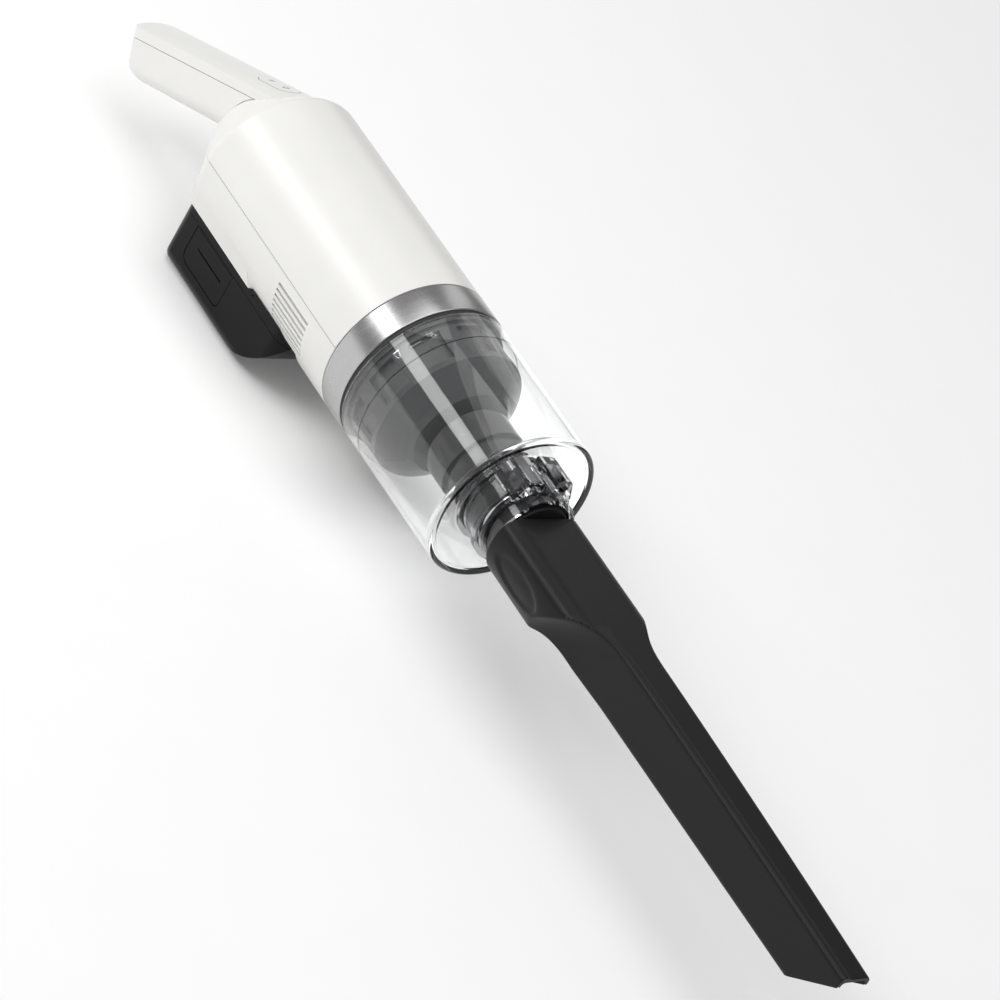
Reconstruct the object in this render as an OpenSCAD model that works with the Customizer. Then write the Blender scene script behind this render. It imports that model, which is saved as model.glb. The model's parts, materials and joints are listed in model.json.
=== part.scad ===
// Handheld vacuum: round motor body with a drooping handle, clip-in battery, twist-off
// clear dust bin with a filter basket, and a pull-off crevice tool.
// Working frame: +X toward the nozzle, +Z up, +Y to the left, Z = 0 on the battery underside.
// Every sub-part is drawn around the body axis; on_axis() lifts it into the working frame.

/* [View] */
// which sub-part to draw

/* [Body] */
// outside radius of the body and trim ring
body_r = 43; // [38:0.5:48]
// wall of the body shells
body_wall = 2.4; // [1.6:0.2:3.2]
// length of the straight cylinder behind the trim ring
body_len = 129.5; // [110:0.5:150]
// radius of the cap that closes the rear
cap_r = 32.5; // [26:0.5:40]
// angle of the rear cone from the body axis
cone_deg = 36.9; // [30:0.1:60]
// rounding between cylinder and rear cone
dome_edge = 6; // [3:0.5:10]
// height of the seam above the body axis
seam_z = 2.5; // [0:0.1:6]
// gap left along the shell seams
seam_gap = 0.3; // [0.1:0.1:0.6]
// height of the body axis above the rest face
axis_h = 60.5; // [55:0.5:70]
// distance of the trim ring ahead of the battery centre
ring_x = 88; // [70:0.5:100]

/* [Vents] */
// number of vent slots on each side
vent_count = 7; // [4:1:9]
// length of a vent slot
vent_len = 29; // [15:1:35]
// width of a vent slot
vent_w = 1.5; // [1:0.1:2.5]
// angular pitch of the vent slots
vent_step = 4.3; // [3:0.1:6]

/* [Handle] */
// droop of the handle below the body axis
handle_deg = 22.4; // [10:0.1:35]
// length of the handle from the dome to its end
handle_len = 109; // [90:1:130]
// half width of the handle
handle_hw = 14.3; // [12:0.1:18]
// crown of the handle top
handle_crown = 2.4; // [1:0.1:4]
// depth of the top cover skirt
cover_h = 5.2; // [4:0.1:8]
// depth of the handle at its root
grip_h = 27; // [22:0.5:34]
// depth of the handle at its end
grip_end_h = 24.5; // [20:0.5:34]
// rounding along the underside of the grip
grip_r = 9; // [5:0.5:12]
// wall of the handle shells
handle_wall = 2.2; // [1.6:0.2:3]

/* [Power button] */
// length of the button
button_len = 26; // [18:0.5:32]
// width of the button
button_w = 11.6; // [8:0.2:15]
// travel of the button
button_travel = 1.5; // [0.8:0.1:2.5]
// gap around the button
button_gap = 0.35; // [0.3:0.05:0.6]

/* [Trim ring and bayonet] */
// width of the silver trim ring
trim_w = 16.9; // [10:0.1:22]
// inner radius of the trim ring
trim_ri = 40.9; // [39:0.1:42]
// thickness of the bayonet ring
bayonet_w = 1.4; // [1:0.1:3]

/* [Dust bin] */
// front of the bin rim, measured from the rear of the trim ring
bin_x1 = 101.2; // [90:0.1:120]
// outside radius of the bin at its front
bin_r1 = 42; // [38:0.5:44]
// wall of the bin
bin_wall = 2.2; // [1.6:0.1:3]
// how far the front plate sits behind the rim
bin_dish = 7; // [1:0.1:9]
// rounding of the front rim
bin_rim_r = 2.4; // [1.5:0.1:4]

/* [Inlet neck] */
// outside radius of the neck
neck_r = 21.6; // [18:0.1:24]
// outside radius of the neck lip
lip_r = 24; // [22:0.1:27]
// rear face of the neck lip
lip_x = 106.6; // [104:0.1:112]
// front of the neck
neck_x1 = 118.8; // [110:0.1:125]
// outside radius of the dark inlet duct
duct_r = 19.2; // [16:0.1:21]
// wall of the inlet duct
duct_wall = 1.7; // [1.2:0.1:2.5]
// rear end of the inlet duct inside the bin
duct_x0 = 58.5; // [57:0.5:70]
// front end of the duct inside the neck
duct_x1 = 118.2; // [112:0.1:118.5]
// half width of the key guide
key_hw = 12.2; // [9:0.1:16]
// height of the key guide above the axis
key_z = 26.2; // [24:0.1:30]

/* [Filter] */
// rear of the filter flange
filter_x0 = 6; // [3:0.5:10]
// outside radius of the flange
flange_r = 40.2; // [38:0.1:41]
// radius of the basket behind the shoulder
basket_r = 37.4; // [34:0.1:39]
// radius of the basket nose
nose_r = 24; // [18:0.5:30]
// start of the basket shoulder
shoulder_x = 43; // [36:0.5:48]
// front of the basket nose
nose_x = 54; // [48:0.5:58]
// number of basket ribs
rib_count = 10; // [6:1:14]
// number of filter pleats
pleat_count = 28; // [16:1:36]

/* [Motor] */
// radius of the motor can
motor_r = 19; // [16:0.5:22]
// rear end of the motor can
motor_x0 = -90; // [-100:1:-80]
// front end of the motor can
motor_x1 = -40; // [-46:1:-36]
// radius of the impeller
impeller_r = 31; // [26:0.5:34]
// number of impeller blades
blade_count = 9; // [7:1:13]

/* [Battery] */
// rear face of the battery
batt_x0 = -138; // [-145:0.5:-130]
// front limit of the battery
batt_x1 = -31; // [-40:0.5:-26]
// half width of the battery
batt_hw = 36.2; // [33:0.1:38]
// height of the battery top relative to the axis
batt_top = -26.4; // [-30:0.1:-24]
// height of the raised front shoulder
batt_shoulder = -23.6; // [-26:0.1:-21]
// radius of the swept-up front
batt_sweep = 55; // [40:1:60]
// wall of the battery case
batt_wall = 2; // [1.6:0.1:3]
// rounding of the lower edges
batt_edge = 8; // [3:0.5:12]
// rounding of the rear corners
batt_corner = 8; // [4:0.5:14]
// travel of the battery when it is pulled down
batt_drop = 40; // [30:1:60]

/* [Release buttons] */
// length of a release button
rel_len = 36.6; // [30:0.1:40]
// height of a release button
rel_h = 19; // [14:0.1:22]
// rear end of the release button
rel_x0 = -122; // [-126:0.5:-118]
// top of the release button relative to the axis
rel_top = -30.6; // [-33:0.1:-29]
// travel of a release button
rel_travel = 2.2; // [1:0.1:3]

/* [Crevice tool] */
// outside radius of the tool sleeve
tool_r = 23.3; // [21:0.1:25]
// rear end of the sleeve
tool_x0 = 119.6; // [118:0.1:124]
// rear end of the spigot inside the duct
spigot_x0 = 100; // [92:1:108]
// wall of the spigot
spigot_wall = 2.3; // [2:0.1:3]
// height of the flat top of the sleeve
tool_flat = 12; // [9:0.5:16]
// tip of the tool
tool_x1 = 382; // [300:1:400]
// half width of the blade at its root
blade_hw0 = 10.6; // [8:0.1:13]
// half width of the blade at its tip
blade_hw1 = 8.6; // [6:0.1:11]
// height of the top edge at the tip
blade_top1 = 9; // [6:0.1:13]
// height of the bottom edge at the root
blade_bot0 = -15; // [-22:0.5:-14]
// height of the bottom edge at the tip
blade_bot1 = -15.5; // [-20:0.1:-10]
// slant of the mouth, bottom edge behind the top edge
mouth_slant = 24; // [0:1:35]
// wall of the tool
tool_wall = 1.9; // [1.4:0.1:3]

// where the underside levels out behind the blade
belly_x = 168; // [160:0.5:190]
// place of the slanted hollows beside the sleeve, at their lower end
hollow_x = 169.4; // [155:0.1:180]
// radius of the slanted hollows
hollow_r = 20; // [10:0.5:24]
// tilt of the slanted hollows from upright
hollow_tilt = 46.3; // [30:0.1:60]

/* [Hidden] */
$fn = 96;
e = 0.01;
cn = [cos(cone_deg), sin(cone_deg)];
edge_pt = [body_r - dome_edge + dome_edge * cn[0], body_len + dome_edge * cn[1]];
cap_pt = [cap_r * cn[0], edge_pt[1] + (edge_pt[0] - cap_r * cn[0]) * cn[0] / cn[1]];
cap_c = cap_pt[1] - cap_r * cn[1];
hx = -152.4;
hz = 28.9;
button_x = -4.5;
sweep_x = -84;
flap_x = 80.7;
flap_z = 14.6;
plate_r = 25.4;
bin_x0 = trim_w + 0.3 + bayonet_w + 0.4;
floor_z = batt_top + 0.4;
bay_x1 = batt_x1 + 3;
cell_r = 9.2;
cell_z = -axis_h + batt_wall + cell_r + 2.9;
cell_x = -133.5;
post_pts = [[-128, 32], [-50, 26]];
duct_ri = duct_r - duct_wall;
spigot_r = duct_ri - 0.05;
s_r = 22;

white = [0.93, 0.93, 0.90];
black = [0.09, 0.09, 0.10];
smoke = [0.35, 0.35, 0.36];
clear = [0.85, 0.88, 0.90, 0.4];
silver = [0.70, 0.70, 0.71];
steel = [0.60, 0.60, 0.62];

module on_axis() translate([ring_x, 0, axis_h]) children();
module lengthwise(x) translate([x, 0, 0]) rotate([0, 90, 0]) children();
module both_sides() { children(); mirror([0, 1, 0]) children(); }
module tube_x(x0, x1, ro, ri) lengthwise(x0) difference() {
  cylinder(r = ro, h = x1 - x0);
  translate([0, 0, -1]) cylinder(r = ri, h = x1 - x0 + 2);
}
// profile in the XZ plane, pushed out to half width w on both sides
module side_cut(w) rotate([90, 0, 0]) linear_extrude(2 * w, center = true) children();
module on_handle() translate([hx, 0, hz]) rotate([0, -handle_deg, 0]) children();

// body outline shrunk by d: cylinder, rounded shoulder, cone and spherical cap
module body_round(d) rotate([0, -90, 0]) rotate_extrude() intersection() {
  union() {
    square([body_r - d, body_len]);
    translate([body_r - dome_edge, body_len]) circle(r = dome_edge - d);
    polygon([[0, body_len - 5], [body_r - dome_edge, body_len - 5], [body_r - dome_edge, body_len],
             edge_pt - d * cn, cap_pt - d * cn, [0, cap_pt[1] - d * cn[1]]]);
    translate([0, cap_c]) circle(r = cap_r - d);
  }
  square([60, 220]);
}

// tapered foot above the battery, shrunk by d
module foot(d) translate([0, 0, 0]) intersection() {
  rotate([90, 0, 90]) translate([0, 0, -134 + d]) linear_extrude(134 - 66 - 2 * d)
    polygon([[-42 + d, -9.2], [-batt_hw - 0.1 + d, floor_z + (d > 0 ? body_wall : 0)],
             [batt_hw + 0.1 - d, floor_z + (d > 0 ? body_wall : 0)], [42 - d, -9.2]]);
  linear_extrude(60, center = true) foot_plan(d);
}
module foot_plan(d) {
  hw = 43 - d;
  difference() {
    translate([-134 + d, -hw]) square([68 - 2 * d, 2 * hw]);
    for (s = [-1, 1]) translate([-64, s * (batt_hw + 15.4 - d)]) circle(r = 18);
  }
}

// space taken by the battery bay under the belly
module bay(d) translate([-200, -60, -80]) cube([200 + bay_x1 + d, 120, 80 + floor_z + d]);

module upper_shell() color(white) on_axis() difference() {
  union() {
    difference() {
      body_round(0);
      body_round(body_wall);
    }
    // ring seat at the front
    tube_x(-3, -0.15, body_r - body_wall + 0.5, body_r - body_wall - 1.6);
    difference() {
      on_handle() handle_cover();
      body_round(body_wall);
    }
    // switch shelf hanging from the crown
    for (y = [-8, 8]) intersection() {
      on_handle() translate([button_x - 5, y - 0.9, -14.4]) cube([10, 1.8, 16]);
      body_round(body_wall - 0.4);
    }
  }
  translate([-200, -60, -80]) cube([201, 120, 80 + seam_z + seam_gap / 2]);
  on_handle() button_hole();
  translate([-1, 0, 0]) lengthwise(0.85) cylinder(r = 60, h = 10);
  on_handle() for (x = [-88, -52]) translate([x, 0, -20]) cylinder(r = 1.1, h = 18.6, $fn = 24);
}

// handle outline below z = 0 plus the crown, in handle coordinates
module handle_block(d, x1) intersection() {
  rotate([90, 0, 90]) translate([0, 0, -handle_len + d]) linear_extrude(x1 + handle_len - d)
    handle_section(d);
  side_cut(30) handle_side(d, x1);
  linear_extrude(120, center = true) handle_plan(d, x1);
}
module handle_section(d) {
  hw = handle_hw - d;
  cr = (pow(handle_hw, 2) + pow(handle_crown, 2)) / (2 * handle_crown);
  intersection() {
    union() {
      translate([-hw, -grip_h + grip_r]) square([2 * hw, grip_h - grip_r + 10]);
      translate([-hw + grip_r - d, -grip_h + d]) square([2 * (hw - grip_r + d), 20]);
      for (s = [-1, 1]) translate([s * (handle_hw - grip_r), -grip_h + grip_r])
        circle(r = grip_r - d);
    }
    translate([0, handle_crown - cr]) circle(r = cr - d);
  }
}
module handle_side(d, x1) {
  er = 15;
  cx = -handle_len + er + 0.8;
  difference() {
    polygon([[-handle_len - 1 + d, 10], [-handle_len + 0.8 + d, -grip_end_h + er],
             [-handle_len + 0.8 + d, -grip_end_h + d], [cx, -grip_end_h + d],
             [x1, -grip_h + d + 0.2], [x1, 10]]);
    translate([cx - er - 1, -grip_end_h - 1]) square([er + 1, er + 1]);
  }
  translate([cx, -grip_end_h + er]) circle(r = er - d);
}
module handle_plan(d, x1) {
  r = 6;
  cx = -handle_len + r - 1;
  hw = handle_hw - d;
  if (d > 0) polygon([[x1, -hw], [cx, -hw], [cx - r + d, -hw + r - d], [cx - r + d, hw - r + d],
                      [cx, hw], [x1, hw]]);
  else {
    translate([cx, -hw]) square([x1 - cx, 2 * hw]);
    translate([cx - r, -hw + r]) square([20, 2 * (hw - r)]);
    for (s = [-1, 1]) translate([cx, s * (hw - r)]) circle(r = r);
  }
}
module handle_cover() difference() {
  handle_block(0, 30);
  difference() {
    handle_block(handle_wall, 31);
    // screw posts
    for (x = [-88, -52]) translate([x, 0, -cover_h - 1]) cylinder(r = 3, h = 20, $fn = 48);
  }
  translate([-150, -40, -80]) cube([200, 80, 80 - cover_h + seam_gap / 2]);
}

// racetrack used by the button and its hole
module racetrack(l, w) {
  square([l - w, w], center = true);
  for (s = [-1, 1]) translate([s * (l - w) / 2, 0]) circle(d = w);
}
module button_hole() translate([button_x, 0, -6]) linear_extrude(20)
  racetrack(button_len + 2 * button_gap, button_w + 2 * button_gap);

module power_button() color(white) on_axis() on_handle() {
  cr = (pow(handle_hw, 2) + pow(handle_crown, 2)) / (2 * handle_crown);
  intersection() {
    translate([button_x, 0, -3.4]) linear_extrude(12) racetrack(button_len, button_w);
    translate([-80, 0, handle_crown - cr]) rotate([0, 90, 0]) cylinder(r = cr + 0.15, h = 160);
  }
  // stem toward the switch
  translate([button_x, 0, -6]) cylinder(r = 2.2, h = 4, $fn = 48);
}

module button_switch() color(black) on_axis() on_handle() {
  translate([button_x - 6, -5, -14.6]) cube([12, 10, 1.4]);
  translate([button_x - 3, -3, -13.2]) cube([6, 6, 3.6]);
  translate([button_x, 0, -9.7]) cylinder(r = 1.7, h = 1.7, $fn = 32);
}

module handle_grip() color(white) on_axis() difference() {
  on_handle() difference() {
    handle_block(0, 26);
    difference() {
      handle_block(handle_wall, 27);
      for (x = [-88, -52]) translate([x, 0, -40]) cylinder(r = 3.6, h = 28, $fn = 48);
    }
    translate([-150, -40, -cover_h - seam_gap / 2]) cube([200, 80, 40]);
    for (x = [-88, -52]) translate([x, 0, -40]) {
      cylinder(r = 1.6, h = 40, $fn = 32);
      cylinder(r = 2.9, h = 20.8, $fn = 48);
    }
  }
  body_round(-0.25);
}

module handle_screws() color(steel) on_axis() on_handle() for (x = [-88, -52])
  translate([x, 0, 0]) difference() {
    union() {
      translate([0, 0, -21.3]) cylinder(r = 2.6, h = 2, $fn = 48);
      translate([0, 0, -20]) cylinder(r = 1.05, h = 16.6, $fn = 32);
    }
    for (a = [0, 90]) rotate(a) translate([-1.6, -0.3, -21.6]) cube([3.2, 0.6, 1.1]);
  }

module belly_housing() color(white) on_axis() difference() {
  union() {
    difference() {
      union() { body_round(0); foot(0); }
      difference() {
        union() { body_round(body_wall); foot(body_wall); }
        bay(body_wall);
      }
    }
    tube_x(-3, -0.15, body_r - body_wall + 0.5, body_r - body_wall - 1.6);
    // screw posts standing on the floor
    for (x = [-122, -66], y = [-24, 24]) translate([x, y, floor_z])
      cylinder(r = 3.4, h = 11, $fn = 48);
  }
  bay(0);
  translate([-200, -60, seam_z - seam_gap / 2]) cube([201, 120, 80]);
  vents();
  for (x = [-122, -66], y = [-24, 24]) translate([x, y, floor_z - 1]) {
    cylinder(r = 1.5, h = 9, $fn = 32);
    cylinder(r = 3, h = 3.2, $fn = 48);
  }
  // terminal window and latch slots in the bay floor
  translate([-58.3, -14.3, floor_z - 1]) cube([16.6, 28.6, 6]);
  both_sides() translate([-112.5, 25.2, floor_z - 1]) cube([17, 6.2, 6]);
}

module vents() both_sides() for (i = [0:vent_count - 1])
  rotate([4.8 + i * vent_step, 0, 0]) translate([-51, -body_r - 2, -vent_w / 2])
    cube([vent_len, 5.6, vent_w]);

module housing_screws() color(steel) on_axis() for (x = [-122, -66], y = [-24, 24])
  translate([x, y, floor_z]) difference() {
    union() {
      translate([0, 0, 0.2]) cylinder(r = 2.7, h = 1.9, $fn = 48);
      cylinder(r = 1.4, h = 7.6, $fn = 32);
    }
    for (a = [0, 90]) rotate(a) translate([-1.6, -0.3, -1]) cube([3.2, 0.6, 2.2]);
  }

module trim_ring() color(silver) on_axis() difference() {
  tube_x(0.3, trim_w, body_r, trim_ri);
  // soft edge lines front and rear
  lengthwise(0.3) rotate_extrude() translate([body_r + 0.3, 0]) circle(r = 0.7, $fn = 32);
  lengthwise(trim_w) rotate_extrude() translate([body_r + 0.3, 0]) circle(r = 0.8, $fn = 32);
}

module rear_bulkhead() color(black) on_axis() difference() {
  union() {
    tube_x(-3.4, -0.2, 38.6, 15);
    tube_x(-0.3, 4.6, 38.4, 34.6);
    for (a = [0:60:300]) rotate([a, 0, 0]) translate([-3.2, -1, 3]) cube([2.8, 2, 14]);
    lengthwise(-3.2) cylinder(r = 5, h = 2.8);
  }
  // screw lands
  for (a = [30:60:330]) rotate([a, 0, 0]) translate([-5, 0, 36.6]) rotate([0, 90, 0])
    cylinder(r = 0.9, h = 4, $fn = 24);
}

module fan_shroud() color(smoke) on_axis() difference() {
  union() {
    tube_x(-33, -5.6, 36.5, 34.7);
    tube_x(-7.4, -5.6, 35, 14);
    // diffuser vanes behind the impeller
    for (a = [0:30:330]) rotate([a, 0, 0]) translate([-32.8, -0.7, motor_r + 3.4])
      cube([7, 1.4, 34.9 - motor_r - 3.4]);
    tube_x(-32.8, -26, motor_r + 4.6, motor_r + 3);
  }
  bay(body_wall + 0.3);
}

module impeller() color(silver) on_axis() {
  tube_x(-23.5, -22, impeller_r, 2.05);
  tube_x(-23.5, -11, 5.5, 2.05);
  tube_x(-10.4, -9.2, impeller_r, 13);
  for (i = [0:blade_count - 1]) rotate([i * 360 / blade_count, 0, 0]) intersection() {
    lengthwise(-22.4) cylinder(r = impeller_r - 0.4, h = 12.3);
    translate([0, -18, 3]) tube_x(-22.4, -10.1, 27, 26);
    translate([-24, -4, 4]) cube([20, 40, 40]);
  }
}

module rotor() color(steel) on_axis() {
  lengthwise(-99) cylinder(r = 2, h = 90.5);
  difference() {
    tube_x(motor_x0 + 10, motor_x1 - 8, 15.2, 1.9);
    for (a = [0:30:330]) rotate([a, 0, 0]) translate([motor_x0 + 9, -0.8, 10])
      cube([45, 1.6, 7]);
  }
  tube_x(motor_x0 + 3, motor_x0 + 9, 6, 1.9);
}

module motor_can() color(steel) on_axis() difference() {
  union() {
    tube_x(motor_x0, motor_x1, motor_r, motor_r - 1.6);
    tube_x(motor_x1 - 1.6, motor_x1, motor_r - 0.5, 4);
    tube_x(motor_x1 - 1.6, motor_x1 + 2.4, 6, 2.6);
  }
  for (a = [45:90:315]) rotate([a, 0, 0]) translate([motor_x1 - 3, -4, 9]) cube([6, 8, 5]);
}

module motor_cap() color(black) on_axis() {
  tube_x(motor_x0 - 3, motor_x0 - 0.1, motor_r, 3);
  tube_x(motor_x0 - 7, motor_x0 - 3, 7, 2.6);
  for (s = [-1, 1]) translate([motor_x0 - 6, s * 12 - 1.5, -1.5]) cube([3.2, 3, 3]);
}

module motor_mounts() color(black) on_axis() for (x = [-84, -68]) difference() {
  intersection() {
    tube_x(x, x + 7, body_r - body_wall - 0.1, motor_r + 0.05);
    union() {
      tube_x(x, x + 7, motor_r + 4.2, motor_r);
      for (a = [-45, 45]) rotate([a, 0, 0]) translate([x, -3, 0]) cube([7, 6, 60]);
      for (s = [-1, 1]) translate([x, s * 14 - 3, -60]) cube([7, 6, 60]);
    }
  }
  bay(body_wall + 0.1);
  translate([x - 1, -60, floor_z + body_wall - 20]) cube([9, 120, 20.1]);
}

module control_board() color([0.10, 0.35, 0.20]) on_axis() {
  translate([-131, -17, -17]) cube([34, 34, 1.6]);
  translate([-127, -9, -15.5]) cube([9, 9, 4]);
  translate([-113, 2, -15.5]) cube([7, 11, 6]);
  for (y = [-12, 6]) translate([-104, y, -15.5]) rotate([0, 0, 0]) cylinder(r = 3.2, h = 9);
  for (s = [-1, 1]) translate([-110, s * 13, -21.2]) cylinder(r = 2, h = 4.3, $fn = 32);
  translate([-110, -13, -17]) cylinder(r = 2, h = 1, $fn = 32);
}

module exhaust_foam() color(smoke) on_axis() both_sides() intersection() {
  tube_x(-54, -16, body_r - body_wall - 0.1, body_r - body_wall - 3.1);
  difference() {
    translate([-60, -60, -26]) cube([60, 60, 26.5]);
    bay(body_wall + 0.1);
  }
}

module terminal_block() color(black) on_axis() {
  translate([-57.9, -13.9, floor_z + 0.1]) cube([15.8, 27.8, 5.6]);
  translate([-60.5, -16.5, floor_z + body_wall + 0.1]) cube([21, 33, 3.2]);
  for (y = [-9, -3, 3, 9]) translate([-54, y - 0.4, floor_z - 6]) cube([8, 0.8, 8]);
}

module bayonet_ring() color(black) on_axis() {
  tube_x(trim_w + 0.3, trim_w + 0.3 + bayonet_w, body_r - 0.5, 40.7);
}

// wall, rolled rim and dished front plate turned in one profile
module bin_shell() color(clear) on_axis() rotate([0, 90, 0]) rotate_extrude() {
  cx = bin_x1 - bin_rim_r;
  px = bin_x1 - bin_dish;
  polygon([[body_r - 0.1, bin_x0], [bin_r1, cx], [bin_r1 - bin_rim_r, cx],
           [bin_r1 - bin_wall, cx - 8], [body_r - 0.1 - bin_wall, bin_x0]]);
  translate([bin_r1 - bin_rim_r, cx]) circle(r = bin_rim_r, $fn = 64);
  polygon([[bin_r1 - bin_rim_r - 0.9, bin_x1 - 0.2], [plate_r, px], [duct_r + 0.3, px],
           [duct_r + 0.3, px - 2.2], [plate_r + 0.8, px - 2.2], [bin_r1 - bin_rim_r - 0.6, cx - 0.4]]);
}

module inlet_neck() color(clear) on_axis() difference() {
  union() {
    tube_x(bin_x1 - bin_dish + 0.1, bin_x1 - bin_dish + 1.6, neck_r + 2.8, duct_r + 0.3);
    tube_x(bin_x1 - bin_dish + 0.1, neck_x1, neck_r, duct_r + 0.3);
    tube_x(lip_x, lip_x + 3.2, lip_r, duct_r + 0.3);
    // key guide on top of the neck
    rotate([90, 0, 90]) translate([0, 0, bin_x1 - bin_dish + 0.1]) linear_extrude(18.4)
      polygon([[-17, 15.5], [-key_hw, key_z], [key_hw, key_z], [17, 15.5]]);
  }
  // open channel between two hollow posts
  translate([60, -3.6, neck_r]) cube([80, 7.2, 20]);
  for (s = [-1, 1]) translate([bin_x1 - bin_dish + 5, s * 8 - 2.7, neck_r - 0.6])
    cube([30, 5.4, key_z - neck_r - 1.2]);
  lengthwise(60) cylinder(r = duct_r + 0.3, h = 90);
  // clearance over the dished plate
  rotate([0, 90, 0]) rotate_extrude() polygon([[plate_r, 80], [plate_r, bin_x1 - bin_dish + 0.15],
    [bin_r1 - bin_rim_r, bin_x1 + 0.15], [bin_r1, 80]]);
}

module inlet_duct() color(smoke) on_axis() difference() {
  union() {
    tube_x(duct_x0, duct_x1, duct_r, duct_ri);
    tube_x(duct_x0 + 3, duct_x0 + 17, 21, duct_ri);
    tube_x(bin_x1 - bin_dish - 5, bin_x1 - bin_dish - 2.4, duct_r + 3, duct_ri);
    // seat the flap closes on
    tube_x(flap_x + 2.3, flap_x + 4.2, duct_ri + 0.3, 15.2);
  }
  flap_axis() cylinder(r = 1.02, h = 22.2, center = true, $fn = 32);
}
module flap_axis() translate([flap_x, 0, flap_z]) rotate([90, 0, 0]) children();

module flap_pin() color(steel) on_axis() flap_axis()
  cylinder(r = 1, h = 22, center = true, $fn = 32);

module inlet_flap() color(black) on_axis() difference() {
  union() {
    intersection() {
      lengthwise(flap_x - 0.1) cylinder(r = 16.3, h = 1.6);
      translate([flap_x - 5, -30, -30]) cube([10, 60, 30 + flap_z]);
    }
    flap_axis() cylinder(r = 1.9, h = 10.4, center = true, $fn = 48);
  }
  flap_axis() cylinder(r = 1.06, h = 30, center = true, $fn = 32);
}

module basket_profile(d) polygon([
  [0, filter_x0 + 10 - (d > 0 ? 20 : 0)], [basket_r + 1 - d, filter_x0 + 10 - (d > 0 ? 20 : 0)],
  [basket_r - d, shoulder_x - d * 0.4], [nose_r + 3 - d * 0.7, nose_x - 3 - d],
  [nose_r - d * 0.6, nose_x - d], [0, nose_x - d]]);

module filter_frame() color(smoke) on_axis() {
  tube_x(filter_x0, filter_x0 + 3, flange_r, 33);
  tube_x(filter_x0, filter_x0 + 14, 38.5, 36.4);
  tube_x(filter_x0 + 12.4, filter_x0 + 15.4, flange_r - 0.4, 36.2);
  difference() {
    lengthwise(0) rotate_extrude() basket_profile(0);
    lengthwise(0) rotate_extrude() basket_profile(2);
    for (i = [0:rib_count - 1]) rotate([i * 360 / rib_count, 0, 0])
      translate([filter_x0 + 18, -7.6, 20]) cube([shoulder_x - filter_x0 - 21, 15.2, 30]);
  }
}

module filter_mesh() color(steel) on_axis() difference() {
  lengthwise(filter_x0 + 14) rotate_extrude() polygon([
    [basket_r - 2.1, 0], [basket_r - 1.7, 0], [basket_r - 2.15, shoulder_x - filter_x0 - 15],
    [basket_r - 2.55, shoulder_x - filter_x0 - 15]]);
  translate([-5, 0, 0]) rotate([0, 90, 0]) cylinder(r = 2, h = 2);
}

module filter_pleats() color([0.85, 0.85, 0.82]) on_axis() {
  difference() {
    lengthwise(filter_x0 + 3.2) cylinder(r = 30.5, h = shoulder_x - filter_x0 - 7);
    lengthwise(filter_x0 + 1) cylinder(r = 22, h = shoulder_x);
    for (i = [0:pleat_count - 1]) rotate([i * 360 / pleat_count, 0, 0])
      translate([0, -0.9, 23.6]) cube([60, 1.8, 12]);
  }
  tube_x(filter_x0 + 0.2, filter_x0 + 3.2, 32.6, 21.5);
  tube_x(shoulder_x - 4.2, shoulder_x - 2, 31, 21.5);
}

module filter_seal() color(black) on_axis() lengthwise(filter_x0 + 9) rotate_extrude()
  translate([39.4, 0]) { circle(r = 0.84, $fn = 48); translate([-0.84, -2]) square([0.7, 4]); }

module batt_outline(d) intersection() {
  side_cut(60) batt_side(d);
  linear_extrude(200, center = true) batt_plan(d);
  rotate([90, 0, 90]) linear_extrude(400, center = true) batt_front(d);
}
// cross section with rounded lower edges
module batt_front(d) {
  r = batt_edge;
  hw = batt_hw - d;
  translate([-hw, -axis_h + r]) square([2 * hw, 80]);
  translate([-batt_hw + r, -axis_h + d]) square([2 * (batt_hw - r), 40]);
  for (s = [-1, 1]) translate([s * (batt_hw - r), -axis_h + r]) circle(r = r - d);
}
module batt_side(d) intersection() {
  union() {
    translate([batt_x0 + d, -axis_h + d]) square([batt_x0 + 300, 60]);
  }
  union() {
    translate([batt_x0 + d, -axis_h + d]) square([sweep_x - batt_x0 - d, 60]);
    translate([sweep_x, -axis_h + batt_sweep]) circle(r = batt_sweep - d, $fn = 160);
  }
  union() {
    translate([batt_x0, -axis_h]) square([-batt_x0 + batt_x1 - d, axis_h + batt_top - d]);
    translate([-67.4, -axis_h]) square([67.4 + batt_x1 - d, axis_h + batt_shoulder - d]);
    translate([-74, batt_top - 3 - d]) rotate(31) square([9, 2.6]);
  }
}
module batt_plan(d) {
  r = batt_corner;
  hw = batt_hw - d;
  translate([batt_x0 + r, -hw]) square([-batt_x0 + batt_x1 - r - 14, 2 * hw]);
  translate([batt_x0 + d, -hw + r - d]) square([60, 2 * (hw - r + d)]);
  translate([-60, -hw + 14 - d]) square([60 + batt_x1 - d, 2 * (hw - 14 + d)]);
  for (s = [-1, 1]) {
    translate([batt_x0 + r, s * (batt_hw - r)]) circle(r = r - d);
    translate([batt_x1 - 14, s * (batt_hw - 14)]) circle(r = 14 - d);
  }
}
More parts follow.
